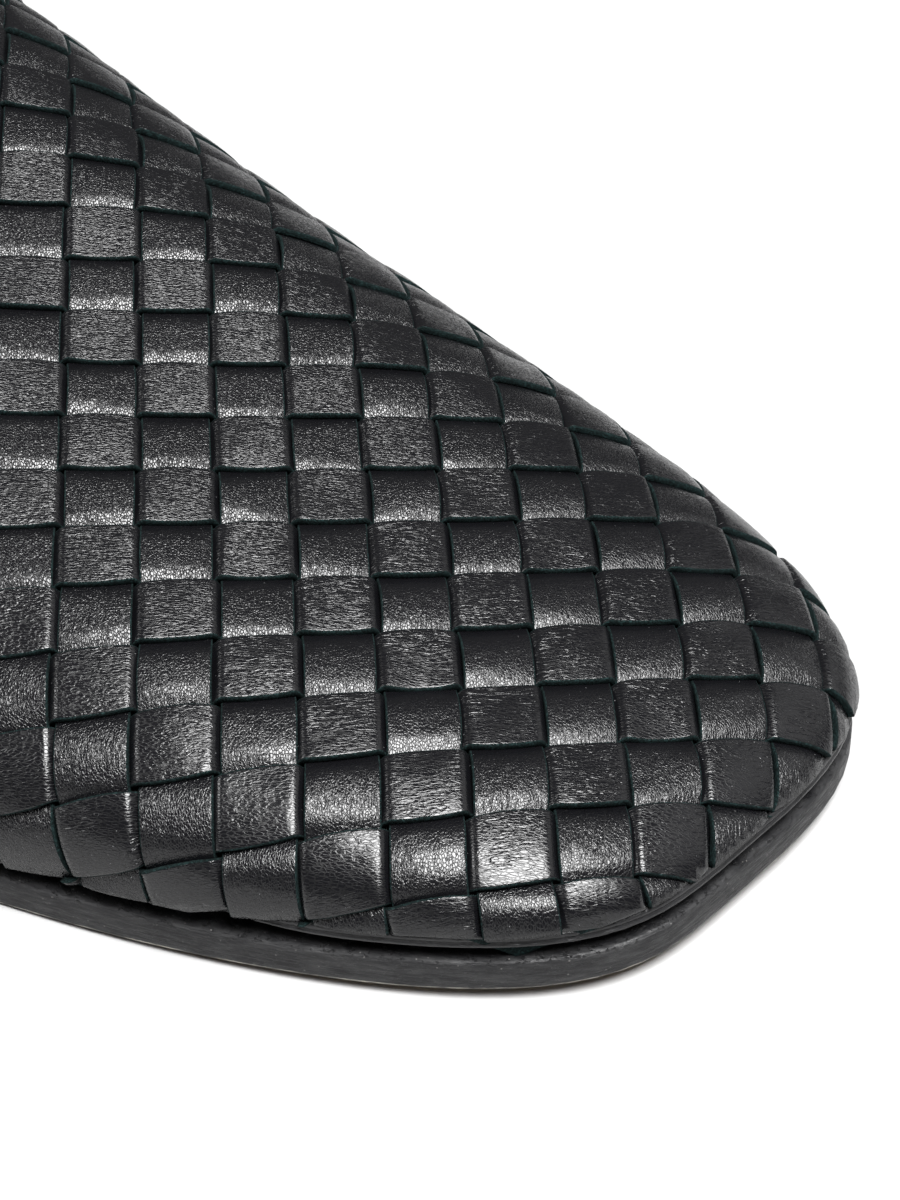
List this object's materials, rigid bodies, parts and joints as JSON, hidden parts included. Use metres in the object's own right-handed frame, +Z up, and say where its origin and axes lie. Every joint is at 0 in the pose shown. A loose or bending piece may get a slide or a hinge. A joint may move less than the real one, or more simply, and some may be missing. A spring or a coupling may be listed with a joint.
{
  "type": "woven leather mule",
  "caption": "Backless slip-on shoe with a closed square toe, an upper of flat leather strips in plain weave, a thin leather sole and a low stacked heel.",
  "frame": {"origin": "on the floor, under the middle of the shoe's bounding box", "axes": "+X towards the toe, +Z up, -Y the outer side of the foot"},
  "size_m": [0.2566, 0.0894, 0.0514],
  "materials": {
    "sole_leather": "dyed and burnished sole leather, fibrous edge",
    "heel_leather": "stacked leather, dyed and burnished",
    "lift_rubber": "matt rubber",
    "rand_leather": "smooth semi-matt leather",
    "sock_leather": "soft lining leather",
    "woven_leather": "fine grained satin leather with raw dark green cut edges"
  },
  "bodies": {
    "root": {"outsole": "sole_leather", "heel_stack": "heel_leather", "heel_top_lift": "lift_rubber", "midsole_rand": "rand_leather", "insole_sock": "sock_leather", "upper_woven": "woven_leather"}
  },
  "joints": []
}
